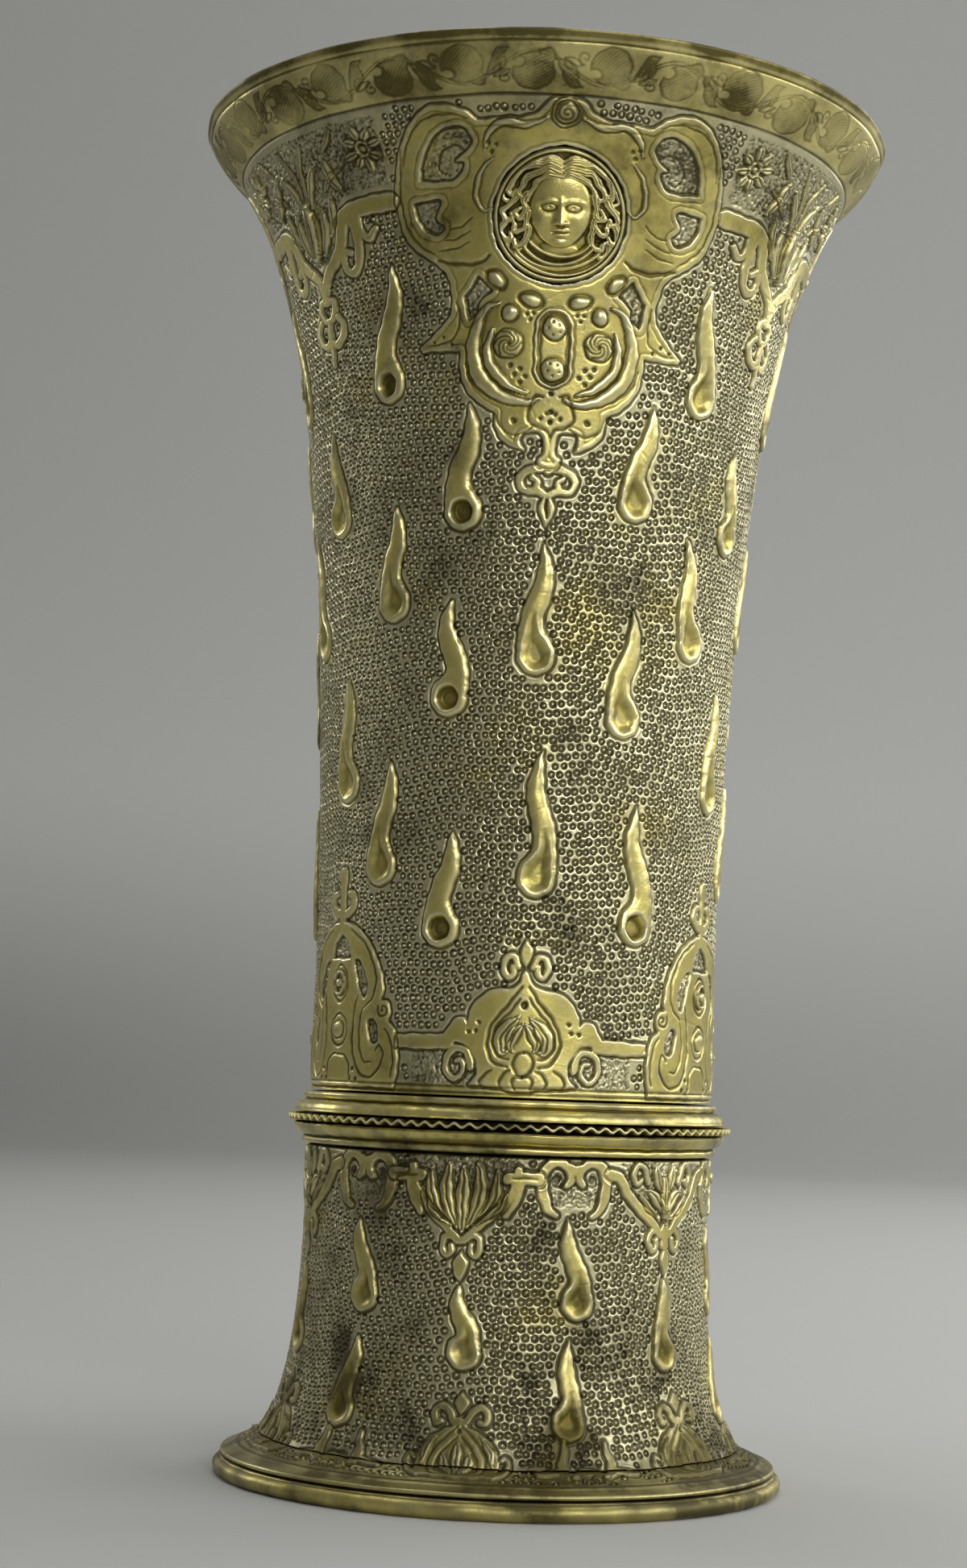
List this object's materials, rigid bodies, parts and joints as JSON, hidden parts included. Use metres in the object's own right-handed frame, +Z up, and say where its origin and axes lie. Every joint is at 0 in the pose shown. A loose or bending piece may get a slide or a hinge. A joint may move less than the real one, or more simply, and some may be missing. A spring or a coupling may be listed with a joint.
{
  "type": "footed beaker vase",
  "caption": "Tall brass beaker vase with a flared lip, on a hollow spreading foot, with a collar of mouldings round a waved wire and mask medallions under the lip.",
  "frame": {"origin": "centre of the foot's flat underside, in the plane of the surface that the vase stands on", "axes": "+Z up along the vase's axis; one medallion faces -Y"},
  "size_m": [0.0986, 0.0986, 0.19],
  "materials": {
    "gilt_brass": "burnished gilding, worn on the high points",
    "chased_brass": "silver-grey ring-punched ground with gilt ornament, dark in the recesses",
    "moulding_brass": "tarnished gilding with bright rubbed edges",
    "tarnished_brass": "dull, darkly tarnished"
  },
  "bodies": {
    "root": {"mask_medallion_1": "gilt_brass", "mask_medallion_2": "gilt_brass", "mask_medallion_3": "gilt_brass", "cup_wall": "chased_brass", "cup_floor": "tarnished_brass", "collar_lower_moulding": "moulding_brass", "collar_upper_moulding": "moulding_brass", "collar_waved_wire": "gilt_brass", "foot_skirt": "chased_brass", "foot_flange": "moulding_brass", "base_ring": "moulding_brass"}
  },
  "joints": []
}
